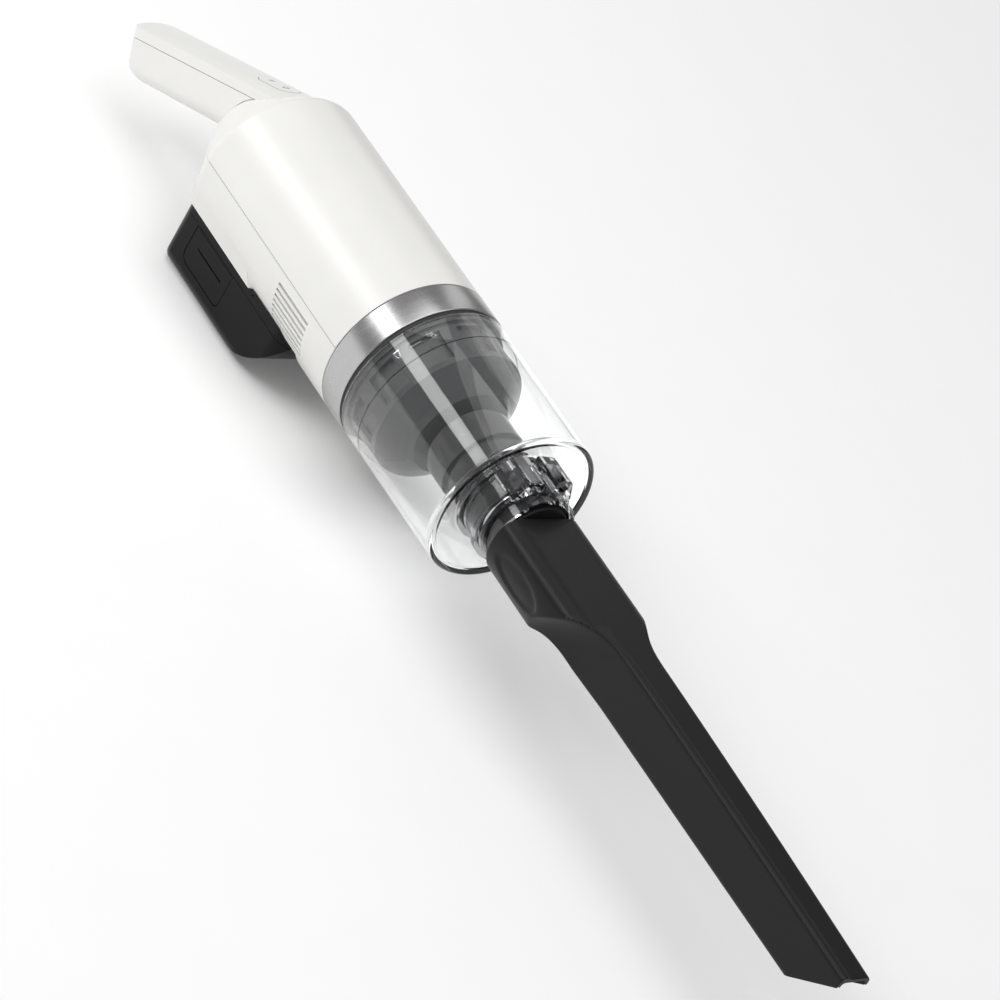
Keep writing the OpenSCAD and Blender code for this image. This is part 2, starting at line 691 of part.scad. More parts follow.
// saddle that keeps the battery off the round belly
module saddle(d) {
  lengthwise(-200) cylinder(r = body_r + d, h = 260);
}
module batt_solid(d) difference() {
  batt_outline(d);
  foot(-0.4 - d);
  difference() {
    saddle(0.45 + d);
    translate([-200, -60, -80]) cube([200 + bay_x1 + 0.3, 120, 80 + batt_top - d]);
  }
}
module rel_slot(g) both_sides() translate([rel_x0, -batt_hw + 4, rel_top - rel_h])
  rotate([90, 0, 0]) linear_extrude(6) rel_outline(g);
module rel_outline(g) {
  translate([-g, 5]) square([rel_len + 2 * g, rel_h - 5 + g]);
  translate([5, -g]) square([rel_len - 8, rel_h]);
  translate([5, 5]) circle(r = 5 + g);
  translate([rel_len - 3, 3]) circle(r = 3 + g);
  translate([rel_len - 8, 3]) square([8 + g, 5]);
}

module battery_tray() color(black) on_axis() difference() {
  batt_solid(0);
  difference() {
    batt_solid(batt_wall);
    for (p = post_pts, s = [-1, 1]) translate([p[0], s * p[1], -80]) cylinder(r = 3, h = 80, $fn = 32);
  }
  translate([-200, -60, batt_top - 3.4]) cube([134, 120, 40]);
  translate([-66.5, -60, batt_top - 3.4]) cube([60, 27, 40]);
  translate([-66.5, 33, batt_top - 3.4]) cube([60, 27, 40]);
  translate([-66.5, -34, batt_top - 3.4]) cube([60, 68, 40]);
  rel_slot(0.35);
  for (p = post_pts, s = [-1, 1]) translate([p[0], s * p[1], batt_top - 9])
    cylinder(r = 1, h = 20, $fn = 24);
}

module battery_lid() color(black) on_axis() difference() {
  batt_solid(0);
  translate([-200, -60, -90]) cube([200, 120, 90 + batt_top - 3.4 + 0.2]);
  difference() {
    batt_solid(batt_wall);
    for (p = post_pts, s = [-1, 1]) translate([p[0], s * p[1], -80]) cylinder(r = 3, h = 80, $fn = 32);
  }
  // terminal window, latch windows and screw holes
  translate([-58.6, -14.6, batt_top - 5]) cube([17.2, 29.2, 9]);
  both_sides() translate([-112, 25.6, batt_top - 5]) cube([16, 5.6, 9]);
  for (p = post_pts, s = [-1, 1]) translate([p[0], s * p[1], batt_top - 5]) {
    cylinder(r = 1.4, h = 20, $fn = 32);
    translate([0, 0, 3.2]) cylinder(r = 2.7, h = 9, $fn = 48);
  }
}

module battery_screws() color(steel) on_axis() for (p = post_pts, s = [-1, 1])
  translate([p[0], s * p[1], batt_top]) difference() {
    union() {
      translate([0, 0, -1.7]) cylinder(r = 2.4, h = 1.3, $fn = 48);
      translate([0, 0, -8]) cylinder(r = 0.95, h = 7, $fn = 32);
    }
    for (a = [0, 90]) rotate(a) translate([-1.5, -0.3, -1]) cube([3, 0.6, 2]);
  }

module battery_cells() color([0.10, 0.25, 0.50]) on_axis() for (y = [-19.4, 0, 19.4])
  translate([cell_x, y, cell_z]) rotate([0, 90, 0]) {
    cylinder(r = cell_r, h = 64.6);
    translate([0, 0, 64.6]) cylinder(r = 3, h = 0.8, $fn = 48);
  }

module cell_straps() color(silver) on_axis() {
  translate([cell_x - 0.5, -24, cell_z - 3]) cube([0.4, 29, 6]);
  translate([cell_x + 65.5, -5, cell_z - 3]) cube([0.4, 29, 6]);
  // terminal board under the lid
  translate([-62, -17, -34.6]) cube([20, 34, 1.4]);
  for (y = [-9, -3, 3, 9]) for (s = [-1, 1]) translate([-55, y + s * 1.1 - 0.25, -33.3])
    cube([9, 0.5, 4.4]);
}

module release() translate([rel_x0, -batt_hw + 0.1, rel_top - rel_h]) {
  rotate([90, 0, 0]) translate([0, 0, -2.4]) linear_extrude(2.4) rel_face();
  // inner flange keeps the button in its slot
  translate([-1.6, 2.25, 1]) cube([rel_len + 3.2, 0.9, rel_h - 1]);
  // latch arm reaching up into the belly
  translate([12, 3, rel_h - 6]) cube([10, 4.4, 2]);
  translate([12, 5.9, rel_h - 6]) cube([10, 1.6, 14.6]);
  translate([12, 5.4, rel_h + 7.4]) cube([10, 1, 1.2]);
}
module rel_face() difference() {
  rel_outline(0);
  translate([7, 10.8]) square([24, 0.7]);
}
module release_right() color(black) on_axis() release();
module release_left() color(black) on_axis() mirror([0, 1, 0]) release();

// round sleeve with a flat top that runs into a flat blade, shrunk by d
module tool_outer(d) difference() {
  intersection() {
    lengthwise(tool_x0) cylinder(r = tool_r - d, h = tool_x1 + 10 - tool_x0);
    side_cut(30) difference() {
      polygon([[tool_x0 - 1, tool_flat - d], [tool_x1 + 12, top_at(tool_x1 + 12) - d],
               [tool_x1 + 12, -40], [tool_x0 - 1, -40]]);
      translate([belly_x, blade_bot0 - 24.3 + d]) circle(r = 24);
      polygon([[belly_x - 6, blade_bot0 - 1.6 + d], [belly_x + 1, blade_bot0 + d],
               [tool_x1 + 14, blade_bot1 + d], [tool_x1 + 14, -50], [belly_x - 6, -50]]);
    }
  }
  // hollow sweep along a slanted line, then the flat sides of the blade
  for (s = [-1, 1]) {
    translate([hollow_x, s * (blade_hw0 + hollow_r - 0.1 - d), -24]) rotate([0, hollow_tilt, 0])
      cylinder(r = hollow_r, h = 140, center = true);
    intersection() {
      translate([hollow_x, 0, -24]) rotate([0, hollow_tilt, 0]) translate([0, -40, -300])
        cube([400, 80, 600]);
      linear_extrude(120, center = true) polygon([[120, s * (blade_hw0 - d)],
        [216, s * (blade_hw0 - d)], [tool_x1 + 14, s * (blade_hw1 - d)],
        [tool_x1 + 14, s * 36], [120, s * 36]]);
    }
  }
}
function top_at(x) = tool_flat + (blade_top1 - tool_flat) * (x - tool_x0) / (tool_x1 - tool_x0);

module crevice_tool() color(black) on_axis() difference() {
  union() {
    tool_outer(0);
    lengthwise(spigot_x0) cylinder(r = spigot_r, h = tool_x0 + 0.5 - spigot_x0);
  }
  // air way through the spigot and the rear wall
  lengthwise(spigot_x0 - 1) cylinder(r = spigot_r - spigot_wall, h = tool_x0 - 2.2 - spigot_x0 + 1);
  intersection() {
    lengthwise(tool_x0 - 3) cylinder(r = spigot_r - spigot_wall, h = 8);
    translate([tool_x0 - 4, -40, -60]) cube([10, 80, 60 + tool_flat - tool_wall]);
  }
  intersection() {
    tool_outer(tool_wall);
    translate([tool_x0 + 2, -40, -40]) cube([400, 80, 80]);
  }
  // slanted mouth
  side_cut(30) polygon([[tool_x1 - mouth_slant, -30], [tool_x1 - mouth_slant, blade_bot1],
    [tool_x1, blade_top1 - 5], [tool_x1, 20], [tool_x1 + 20, 20], [tool_x1 + 20, -30]]);
  // shallow channel along the top edge
  translate([194, -1.6, top_at(194) + 3.2]) rotate([0, 90 + atan((tool_flat - blade_top1) /
    (tool_x1 - tool_x0)), 0]) cylinder(r = 4.4, h = 240, $fn = 64);
  // finger dimples
  both_sides() translate([143.5, tool_r + 13.3, -3]) rotate([0, 90, 0])
    rotate_extrude() intersection() {
      translate([0, -40]) square([40, 80]);
      translate([-60 + 14.2, 0]) circle(r = 60, $fn = 128);
    }
  // groove for the seal
  tube_x(107.8, 110.2, spigot_r + 1, spigot_r - 1.3);
}

module tool_seal() color(black) on_axis() lengthwise(109) rotate_extrude()
  translate([spigot_r - 0.6, 0]) circle(r = 0.6, $fn = 32);

upper_shell();
belly_housing();
handle_grip();
handle_screws();
housing_screws();
trim_ring();
rear_bulkhead();
fan_shroud();
impeller();
rotor();
motor_can();
motor_cap();
motor_mounts();
control_board();
exhaust_foam();
terminal_block();
button_switch();
power_button();
bayonet_ring();
bin_shell();
inlet_neck();
inlet_duct();
flap_pin();
inlet_flap();
filter_frame();
filter_mesh();
filter_pleats();
filter_seal();
battery_tray();
battery_lid();
battery_cells();
cell_straps();
battery_screws();
release_right();
release_left();
crevice_tool();
tool_seal();
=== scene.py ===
"""Looks of the handheld vacuum: materials, refined outer pieces, lights and camera.

Lengths in the shape code are millimetres around the body axis: x from the rear of the trim ring
toward the nozzle, y to the left, z up. AXIS lifts them into the row frame.
"""

import json
import math

import bpy
import numpy as np
from mathutils import Matrix, Vector


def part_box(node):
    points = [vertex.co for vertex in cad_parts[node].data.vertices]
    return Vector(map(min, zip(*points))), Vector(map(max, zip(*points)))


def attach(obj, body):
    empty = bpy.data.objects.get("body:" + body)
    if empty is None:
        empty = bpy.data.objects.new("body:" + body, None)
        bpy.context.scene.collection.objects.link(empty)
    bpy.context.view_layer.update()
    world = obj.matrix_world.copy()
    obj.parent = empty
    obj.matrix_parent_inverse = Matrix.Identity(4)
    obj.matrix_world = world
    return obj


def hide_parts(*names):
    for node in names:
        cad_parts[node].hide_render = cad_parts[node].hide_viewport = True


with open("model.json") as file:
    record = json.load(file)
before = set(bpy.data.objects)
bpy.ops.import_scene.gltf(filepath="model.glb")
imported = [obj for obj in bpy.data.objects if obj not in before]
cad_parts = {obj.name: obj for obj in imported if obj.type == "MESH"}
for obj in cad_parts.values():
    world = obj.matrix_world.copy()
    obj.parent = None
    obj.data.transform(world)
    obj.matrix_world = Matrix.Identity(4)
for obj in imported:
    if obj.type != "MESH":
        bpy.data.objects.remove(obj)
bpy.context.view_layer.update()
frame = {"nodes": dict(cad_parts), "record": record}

MM = 0.001
# the trim ring gives the place of the body axis and starts RING_GAP ahead of the origin
RING_GAP = 0.3
ring_low, ring_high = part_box("trim_ring")
AXIS = Vector((ring_low.x - RING_GAP * MM, 0.0, (ring_low.z + ring_high.z) / 2))
RING_R = (ring_high.z - ring_low.z) / 2 / MM
TAU = 2 * math.pi


# ---------------------------------------------------------------- materials

def new_material(name):
    mat = bpy.data.materials.new(name)
    mat.use_nodes = True
    nodes = mat.node_tree.nodes
    return mat, nodes, mat.node_tree.links, nodes["Principled BSDF"]


def noise(nodes, links, scale, detail=3.0, stretch=(1, 1, 1)):
    """A noise texture in the row frame; scale is in waves per metre."""
    coords = nodes.new("ShaderNodeTexCoord")
    mapping = nodes.new("ShaderNodeMapping")
    mapping.inputs["Scale"].default_value = stretch
    texture = nodes.new("ShaderNodeTexNoise")
    texture.inputs["Scale"].default_value = scale
    texture.inputs["Detail"].default_value = detail
    links.new(coords.outputs["Object"], mapping.inputs["Vector"])
    links.new(mapping.outputs["Vector"], texture.inputs["Vector"])
    return texture.outputs["Fac"]


def spread(nodes, links, source, low, high):
    """Maps a noise value to the range low..high."""
    node = nodes.new("ShaderNodeMapRange")
    node.inputs["From Min"].default_value = 0.3
    node.inputs["From Max"].default_value = 0.7
    node.inputs["To Min"].default_value = low
    node.inputs["To Max"].default_value = high
    links.new(source, node.inputs["Value"])
    return node.outputs["Result"]


def tint(nodes, links, source, dark, light):
    """Mixes two colours by a noise value."""
    ramp = nodes.new("ShaderNodeValToRGB")
    ramp.color_ramp.elements[0].position = 0.3
    ramp.color_ramp.elements[1].position = 0.7
    ramp.color_ramp.elements[0].color = (*dark, 1)
    ramp.color_ramp.elements[1].color = (*light, 1)
    links.new(source, ramp.inputs["Fac"])
    return ramp.outputs["Color"]


def bump(nodes, links, source, shader, strength, distance):
    node = nodes.new("ShaderNodeBump")
    node.inputs["Strength"].default_value = strength
    node.inputs["Distance"].default_value = distance
    links.new(source, node.inputs["Height"])
    links.new(node.outputs["Normal"], shader.inputs["Normal"])


MOTTLE, POLISH = 28, 90  # waves per metre of a moulding's colour and gloss


def moulded(name, colour, rough, grain=900, grain_depth=0.00002, contrast=0.04, **sockets):
    """Moulded plastic: faint mottling, uneven polish and a fine spark-eroded grain."""
    mat, nodes, links, shader = new_material(name)
    dark = [c * (1 - contrast) for c in colour]
    light = [min(1.0, c * (1 + contrast)) for c in colour]
    links.new(tint(nodes, links, noise(nodes, links, MOTTLE), dark, light),
              shader.inputs["Base Color"])
    links.new(spread(nodes, links, noise(nodes, links, POLISH), rough * 0.93, rough * 1.07),
              shader.inputs["Roughness"])
    bump(nodes, links, noise(nodes, links, grain, 2), shader, 0.35, grain_depth)
    for socket, value in sockets.items():
        shader.inputs[socket.replace("_", " ")].default_value = value
    return mat


def metal(name, colour, rough, stretch=(1, 1, 1), grain=300, depth=0.00001, contrast=0.05,
          uneven=0.15):
    mat, nodes, links, shader = new_material(name)
    shader.inputs["Metallic"].default_value = 1.0
    lines = noise(nodes, links, grain, 4, stretch)
    dark = [c * (1 - contrast) for c in colour]
    links.new(tint(nodes, links, lines, dark, colour), shader.inputs["Base Color"])
    links.new(spread(nodes, links, lines, rough * (1 - uneven), rough * (1 + uneven)),
              shader.inputs["Roughness"])
    bump(nodes, links, lines, shader, 0.2, depth)
    return mat


def glassy(name, colour, rough, ior):
    """Clear or tinted plastic. Lamps shine through it, so what it encloses is lit."""
    mat, nodes, links, shader = new_material(name)
    dark = [c * 0.985 for c in colour]
    links.new(tint(nodes, links, noise(nodes, links, 40), dark, colour),
              shader.inputs["Base Color"])
    links.new(spread(nodes, links, noise(nodes, links, 60), rough * 0.7, rough * 1.3),
              shader.inputs["Roughness"])
    bump(nodes, links, noise(nodes, links, 30, 1), shader, 0.05, 0.00002)
    shader.inputs["Transmission Weight"].default_value = 1.0
    shader.inputs["IOR"].default_value = ior
    clear = nodes.new("ShaderNodeBsdfTransparent")
    clear.inputs["Color"].default_value = (1, 1, 1, 1)
    path = nodes.new("ShaderNodeLightPath")
    mix = nodes.new("ShaderNodeMixShader")
    links.new(path.outputs["Is Shadow Ray"], mix.inputs[0])
    links.new(shader.outputs["BSDF"], mix.inputs[1])
    links.new(clear.outputs["BSDF"], mix.inputs[2])
    links.new(mix.outputs["Shader"], nodes["Material Output"].inputs["Surface"])
    return mat


def paper(name, colour, scale):
    """Fibrous filter paper or open foam."""
    mat, nodes, links, shader = new_material(name)
    fibres = noise(nodes, links, scale, 6)
    dark = [c * 0.8 for c in colour]
    links.new(tint(nodes, links, fibres, dark, colour), shader.inputs["Base Color"])
    shader.inputs["Roughness"].default_value = 0.9
    bump(nodes, links, fibres, shader, 0.6, 0.0002)
    return mat


M = {
    "shell_white": moulded("white_shell", (0.82, 0.815, 0.785), 0.34, contrast=0.012,
                           Coat_Weight=0.12, Coat_Roughness=0.22),
    "battery_black": moulded("battery_plastic", (0.0035, 0.0035, 0.0038), 0.3, 1400, 0.00001,
                             Specular_IOR_Level=0.14),
    "tool_black": moulded("tool_plastic", (0.0125, 0.0125, 0.0125), 0.36, 1600, 0.00002,
                          Specular_IOR_Level=0.18),
    "trim_silver": metal("satin_trim", (0.50, 0.50, 0.50), 0.27, (6, 1, 1), 60, 0.000001, 0.02,
                         0.04),
    "bin_clear": glassy("clear_bin", (0.985, 0.99, 0.99), 0.012, 1.46),
    "smoke_plastic": moulded("smoke_plastic", (0.030, 0.030, 0.032), 0.24, 90, 0.000001,
                             Specular_IOR_Level=0.3),
    "inner_black": moulded("inner_black", (0.016, 0.016, 0.017), 0.45),
    "steel": metal("brushed_steel", (0.58, 0.58, 0.60), 0.3, (1, 12, 12), 40),
    "screw_steel": metal("screw_steel", (0.66, 0.66, 0.68), 0.2),
    "rubber_black": moulded("rubber", (0.020, 0.020, 0.021), 0.62, 500, 0.00006),
    "filter_paper": paper("filter_paper", (0.060, 0.060, 0.063), 700),
    "foam_grey": paper("exhaust_foam", (0.10, 0.10, 0.105), 900),
    "board_green": moulded("board_mask", (0.02, 0.13, 0.06), 0.3),
    "cell_wrap": moulded("cell_wrap", (0.03, 0.10, 0.30), 0.3),
    "nickel": metal("nickel", (0.70, 0.68, 0.64), 0.22),
    "fan_alloy": metal("fan_alloy", (0.72, 0.72, 0.74), 0.33),
    "hairline": moulded("hairline", (0.10, 0.10, 0.095), 0.7),
    "dark_mesh": moulded("dark_mesh", (0.022, 0.022, 0.023), 0.5, 90, 0.000001),
    "neck_clear": glassy("neck_clear", (0.50, 0.50, 0.51), 0.03, 1.46),
    "duct_smoke": moulded("duct_smoke", (0.010, 0.010, 0.011), 0.22, 90, 0.000001,
                          Specular_IOR_Level=0.4),
}

node_slot = {s["node"]: s["material_slot"] for s in frame["record"]["subparts"]}
own_material = {"filter_mesh": "dark_mesh", "inlet_duct": "duct_smoke",
                "inlet_neck": "neck_clear"}
for node, obj in frame["nodes"].items():
    obj.data.materials.clear()
    obj.data.materials.append(M[own_material.get(node, node_slot[node])])


# ---------------------------------------------------------------- mesh helpers

def place(points):
    """Points in mm around the body axis, as row-frame vectors in metres."""
    return [AXIS + Vector(p) * MM for p in points]


def mesh_piece(name, points, faces, body, slot, replaced=(), sharp=35):
    """A smooth-shaded piece on a body, sharp where its faces turn by more than sharp degrees."""
    mesh = bpy.data.meshes.new(name)
    mesh.from_pydata(place(points), [], faces)
    mesh.validate()
    mesh.materials.append(M[slot])
    obj = bpy.data.objects.new(name, mesh)
    bpy.context.scene.collection.objects.link(obj)
    mesh.shade_smooth()
    mesh.set_sharp_from_angle(angle=math.radians(sharp))
    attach(obj, body)
    if replaced:
        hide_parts(*replaced)
    return obj


def rounded(corners, steps=6):
    """A closed outline from (x, r, fillet) corners, with an arc of that radius at each."""
    out = []
    n = len(corners)
    for i, (x, r, fillet) in enumerate(corners):
        p = np.array((x, r), float)
        a = np.array(corners[i - 1][:2], float) - p
        b = np.array(corners[(i + 1) % n][:2], float) - p
        la, lb = np.linalg.norm(a), np.linalg.norm(b)
        a, b = a / la, b / lb
        half = math.acos(max(-1, min(1, float(a @ b)))) / 2
        if fillet <= 0 or half > 1.56:
            out.append(tuple(p))
            continue
        back = min(fillet / math.tan(half), 0.49 * la, 0.49 * lb)
        radius = back * math.tan(half)
        centre = p + (a + b) / np.linalg.norm(a + b) * radius / math.sin(half)
        start, end = p + a * back - centre, p + b * back - centre
        sweep = math.atan2(start[0] * end[1] - start[1] * end[0], float(start @ end))
        for k in range(steps + 1):
            t = sweep * k / steps
            c, s = math.cos(t), math.sin(t)
            out.append((centre[0] + c * start[0] - s * start[1],
                        centre[1] + s * start[0] + c * start[1]))
    return out


def grid_faces(rows, columns, close_rows=False):
    """Quads between rings of points, with the last ring joined to the first if asked."""
    faces = []
    for i in range(rows if close_rows else rows - 1):
        for j in range(columns):
            a, b = i * columns, ((i + 1) % rows) * columns
            k = (j + 1) % columns
            faces.append((a + j, a + k, b + k, b + j))
    return faces


def lathe(name, corners, body, slot, replaced=(), segments=160, steps=6):
    """A closed outline turned about the body axis."""
    outline = rounded(corners, steps)
    points = [(x, r * math.cos(TAU * j / segments), r * math.sin(TAU * j / segments))
              for x, r in outline for j in range(segments)]
    return mesh_piece(name, points, grid_faces(len(outline), segments, True), body, slot,
                      replaced)


# ---------------------------------------------------------------- soft edges on the CAD shells

HANDLE_DEG, HANDLE_HW = 22.4, 14.3
HANDLE_AT, HANDLE_CROWN = (-152.4, 28.9), 2.4
HANDLE_BOW = (HANDLE_HW**2 + HANDLE_CROWN**2) / (2 * HANDLE_CROWN)
HEEL_X, HEEL_Z, HEEL_R, HEEL_Y = -138, -60.5, 8, 28.2  # battery's rear, base, corner and its centre
WELD_GAP, FLAT_ANGLE = 0.002, 0.25
EDGE_ANGLE, EDGE_SEGMENTS, WIDE_SEGMENTS = 32, 3, 5


def on_handle(p):
    """A point in mm around the body axis, in the handle's own tilted axes."""
    a = math.radians(HANDLE_DEG)
    x, z = p.x - HANDLE_AT[0], p.z - HANDLE_AT[1]
    return Vector((x * math.cos(a) + z * math.sin(a), p.y, z * math.cos(a) - x * math.sin(a)))


def handle_top(y):
    """Height of the handle's crowned top at y, in its own axes."""
    return HANDLE_CROWN - HANDLE_BOW + math.sqrt(max(0.0, HANDLE_BOW**2 - y**2))


def handle_rim(p):
    """Whether a point lies on the upper edge of the handle."""
    q = on_handle(p)
    return q.x < -4 and abs(q.z - handle_top(q.y)) < 0.25 and abs(q.y) > HANDLE_HW - 0.06


def battery_heel(p):
    """Whether a point lies on the lower rear edge of the battery or its mitred corners."""
    x, y, z = p.x - HEEL_X - HEEL_R, abs(p.y) - HEEL_Y, p.z - HEEL_Z - HEEL_R
    straight = abs(x + HEEL_R) < 0.05 and abs(z + HEEL_R) < 0.05
    plan = abs(math.hypot(x, y) - HEEL_R) < 0.06 and x < -1.5
    low = abs(math.hypot(y, z) - HEEL_R) < 0.06 and z < 0
    return straight or (plan and low)


def soften(node, width, chosen=None, wide=0.0):
    """Welds a CAD shell, joins its flat facets and rounds its sharp edges by width (mm).

    Where chosen is given, edges between the corners it picks are first rounded by wide."""
    obj = frame["nodes"][node]
    weld = obj.modifiers.new("weld", "WELD")
    weld.merge_threshold = WELD_GAP * MM
    flat = obj.modifiers.new("flat", "DECIMATE")
    flat.decimate_type, flat.angle_limit = "DISSOLVE", math.radians(FLAT_ANGLE)
    if chosen:
        group = obj.vertex_groups.new(name="chosen")
        picked = [v.index for v in obj.data.vertices if chosen((v.co - AXIS) / MM)]
        group.add(picked, 1.0, "REPLACE")
        first = obj.modifiers.new("chosen", "BEVEL")
        first.width, first.segments = wide * MM, WIDE_SEGMENTS
        first.limit_method, first.vertex_group = "VGROUP", "chosen"
    bevel = obj.modifiers.new("round", "BEVEL")
    bevel.width, bevel.segments = width * MM, EDGE_SEGMENTS
    bevel.limit_method, bevel.angle_limit = "ANGLE", math.radians(EDGE_ANGLE)
    bevel.miter_outer = "MITER_ARC"
    obj.data.shade_smooth()
    normals = obj.modifiers.new("normals", "WEIGHTED_NORMAL")
    normals.weight = 60
    normals.keep_sharp = False


WIDE = {"upper_shell": (handle_rim, 2.2), "battery_tray": (battery_heel, 2.6)}
for shell, edge in (("upper_shell", 0.5), ("handle_grip", 0.5), ("belly_housing", 0.45),
                    ("battery_tray", 0.6), ("battery_lid", 0.4), ("release_left", 0.5),
                    ("release_right", 0.5), ("power_button", 0.35), ("inlet_neck", 0.3)):
    soften(shell, edge, *WIDE.get(shell, ()))

# ---------------------------------------------------------------- trim ring and dust bin

TRIM_X1, TRIM_BORE = (ring_high.x - ring_low.x) / MM + RING_GAP, 40.9
lathe("trim_band", [(RING_GAP, RING_R, 0.5), (TRIM_X1, RING_R, 0.6), (TRIM_X1, TRIM_BORE, 0.3),
                    (RING_GAP, TRIM_BORE, 0.3)], "motor_unit", "trim_silver", ["trim_ring"])

BIN_X0, BIN_X1, BIN_R0, BIN_R1, BIN_WALL = 19.0, 101.2, 42.9, 42.0, 2.2
PLATE_X, PLATE_R, PLATE_HOLE = 94.2, 25.4, 19.5
COLLAR_X = 33.5
# outside, over the rim, down the dish to its hole, back along the inside
lathe("bin_wall", [
    (BIN_X0, BIN_R0, 0.4), (BIN_X1, BIN_R1, 1.5), (BIN_X1 - 0.2, BIN_R1 - 4.2, 1.2),
    (PLATE_X, PLATE_R, 2.0), (PLATE_X, PLATE_HOLE, 0.3), (PLATE_X - BIN_WALL, PLATE_HOLE, 0.3),
    (PLATE_X - BIN_WALL, PLATE_R + 0.8, 1.5), (BIN_X1 - 1.9, BIN_R1 - BIN_WALL, 1.3),
    (COLLAR_X + 0.8, BIN_R0 - BIN_WALL - 0.1, 0.3), (COLLAR_X, BIN_R0 - BIN_WALL - 0.5, 0.3),
    (BIN_X0, BIN_R0 - BIN_WALL - 0.4, 0.3)],
    "dust_bin", "bin_clear", ["bin_shell"], segments=192, steps=8)

# ---------------------------------------------------------------- moulded marks and seams

RIB_HEIGHT, RIB_SINK = 0.25, 0.1


def bin_radius(x):
    return BIN_R0 + (BIN_R1 - BIN_R0) * (x - BIN_X0) / (BIN_X1 - BIN_X0)


def bin_rib(name, path, width):
    """A rib on the bin along (x, angle) points; the angle is in degrees from the top."""
    profile = ((-1, -RIB_SINK), (-1, RIB_HEIGHT * 0.6), (-0.55, RIB_HEIGHT), (0.55, RIB_HEIGHT),
               (1, RIB_HEIGHT * 0.6), (1, -RIB_SINK))
    points, n = [], len(profile)
    for i, (x, angle) in enumerate(path):
        before, after = path[max(i - 1, 0)], path[min(i + 1, len(path) - 1)]
        r = bin_radius(x)
        run = np.array((after[0] - before[0], math.radians(after[1] - before[1]) * r))
        run = run / np.linalg.norm(run)
        side = np.array((-run[1], run[0])) * width / 2
        for s, h in profile:
            px = x + side[0] * s
            pa = math.radians(angle) + side[1] * s / r
            pr = bin_radius(px) + h
            points.append((px, pr * math.sin(pa), pr * math.cos(pa)))
    faces = grid_faces(len(path), n)
    faces.append(tuple(range(n - 1, -1, -1)))
    faces.append(tuple(range(len(points) - n, len(points))))
    return mesh_piece(name, points, faces, "dust_bin", "bin_clear", sharp=60)


# closed lock, travel line and open lock, moulded into the bin beside the ring
LOCK_X, CLOSED_AT, OPEN_AT = 28.2, -56.0, -33.0
bin_rib("travel_line", [(LOCK_X, CLOSED_AT + 9 + k) for k in range(8)], 0.5)
for name, at, swing in (("closed_lock", CLOSED_AT, 0.0), ("open_lock", OPEN_AT, 1.6)):
    bin_rib(name + "_body", [(LOCK_X - 1.4, at - 1.9), (LOCK_X - 1.4, at + 1.9)], 2.0)
    arch = [(LOCK_X - 0.4 + 1.7 * math.sin(math.pi * k / 8),
             at + swing - 1.3 * math.cos(math.pi * k / 8)) for k in range(9)]
    bin_rib(name + "_shackle", arch, 0.45)

BODY_R, BODY_LEN, SEAM_Z, SEAM_GAP = 43.0, 129.5, 2.5, 0.3
SEAM_INSET, SEAM_DEPTH = 0.12, 1.2


def seam_line(name, side):
    """A dark strip inside the seam along one flank of the body."""
    y, stations = math.sqrt(BODY_R**2 - SEAM_Z**2), np.linspace(-0.6, -BODY_LEN, 40)
    points = [(x, side * (y - inset), SEAM_Z + z * SEAM_GAP) for x in stations
              for inset in (SEAM_INSET, SEAM_DEPTH) for z in (-0.75, 0.75)]
    faces = []
    for a in range(0, len(points) - 4, 4):
        b = a + 4
        faces += [(a, a + 1, b + 1, b), (a + 1, a + 3, b + 3, b + 1), (a + 3, a + 2, b + 2, b + 3),
                  (a + 2, a, b, b + 2)]
    end = len(points) - 4
    faces += [(0, 2, 3, 1), (end, end + 1, end + 3, end + 2)]
    return mesh_piece(name, points, faces, "motor_unit", "hairline", sharp=30)


seam_line("seam_core_right", -1)
seam_line("seam_core_left", 1)

# ---------------------------------------------------------------- power button outline and marks

BUTTON_X, BUTTON_LEN, BUTTON_W, BUTTON_GAP = -4.5, 26.0, 11.6, 0.35
BUTTON_PROUD, MARK_HALF = 0.15, 0.2


def from_handle(x, y, z):
    """A point in the handle's tilted axes, in mm around the body axis."""
    a = math.radians(HANDLE_DEG)
    return (HANDLE_AT[0] + x * math.cos(a) - z * math.sin(a), y,
            HANDLE_AT[1] + x * math.sin(a) + z * math.cos(a))


def ribbon(name, path, half, low, high, body, slot, closed=False):
    """A strip along (x, y) points of the handle's crown, reaching half to each side."""
    points, n = [], len(path)
    for i, (x, y) in enumerate(path):
        before = path[i - 1] if closed or i else path[i]
        after = path[(i + 1) % n] if closed or i < n - 1 else path[i]
        run = np.array(after, float) - np.array(before, float)
        run = run / np.linalg.norm(run)
        for s, h in ((-1, low), (-1, high), (1, high), (1, low)):
            px, py = x - run[1] * half * s, y + run[0] * half * s
            points.append(from_handle(px, py, handle_top(py) + h))
    faces = grid_faces(n, 4, closed)
    if not closed:
        faces += [(3, 2, 1, 0), tuple(range(len(points) - 4, len(points)))]
    return mesh_piece(name, points, faces, body, slot, sharp=60)


def arc(cx, cy, radius, start, end, steps):
    """Points (x, y) around a centre from start to end degrees."""
    turns = [math.radians(start + (end - start) * k / steps) for k in range(steps + 1)]
    return [(cx + radius * math.cos(t), cy + radius * math.sin(t)) for t in turns]


track = (BUTTON_LEN - BUTTON_W) / 2
track_r = (BUTTON_W + BUTTON_GAP) / 2
outline = (arc(BUTTON_X + track, 0, track_r, -90, 90, 24)
           + arc(BUTTON_X - track, 0, track_r, 90, 270, 24))
ribbon("button_outline", outline, 0.12, -1.4, -0.06, "motor_unit", "hairline", closed=True)
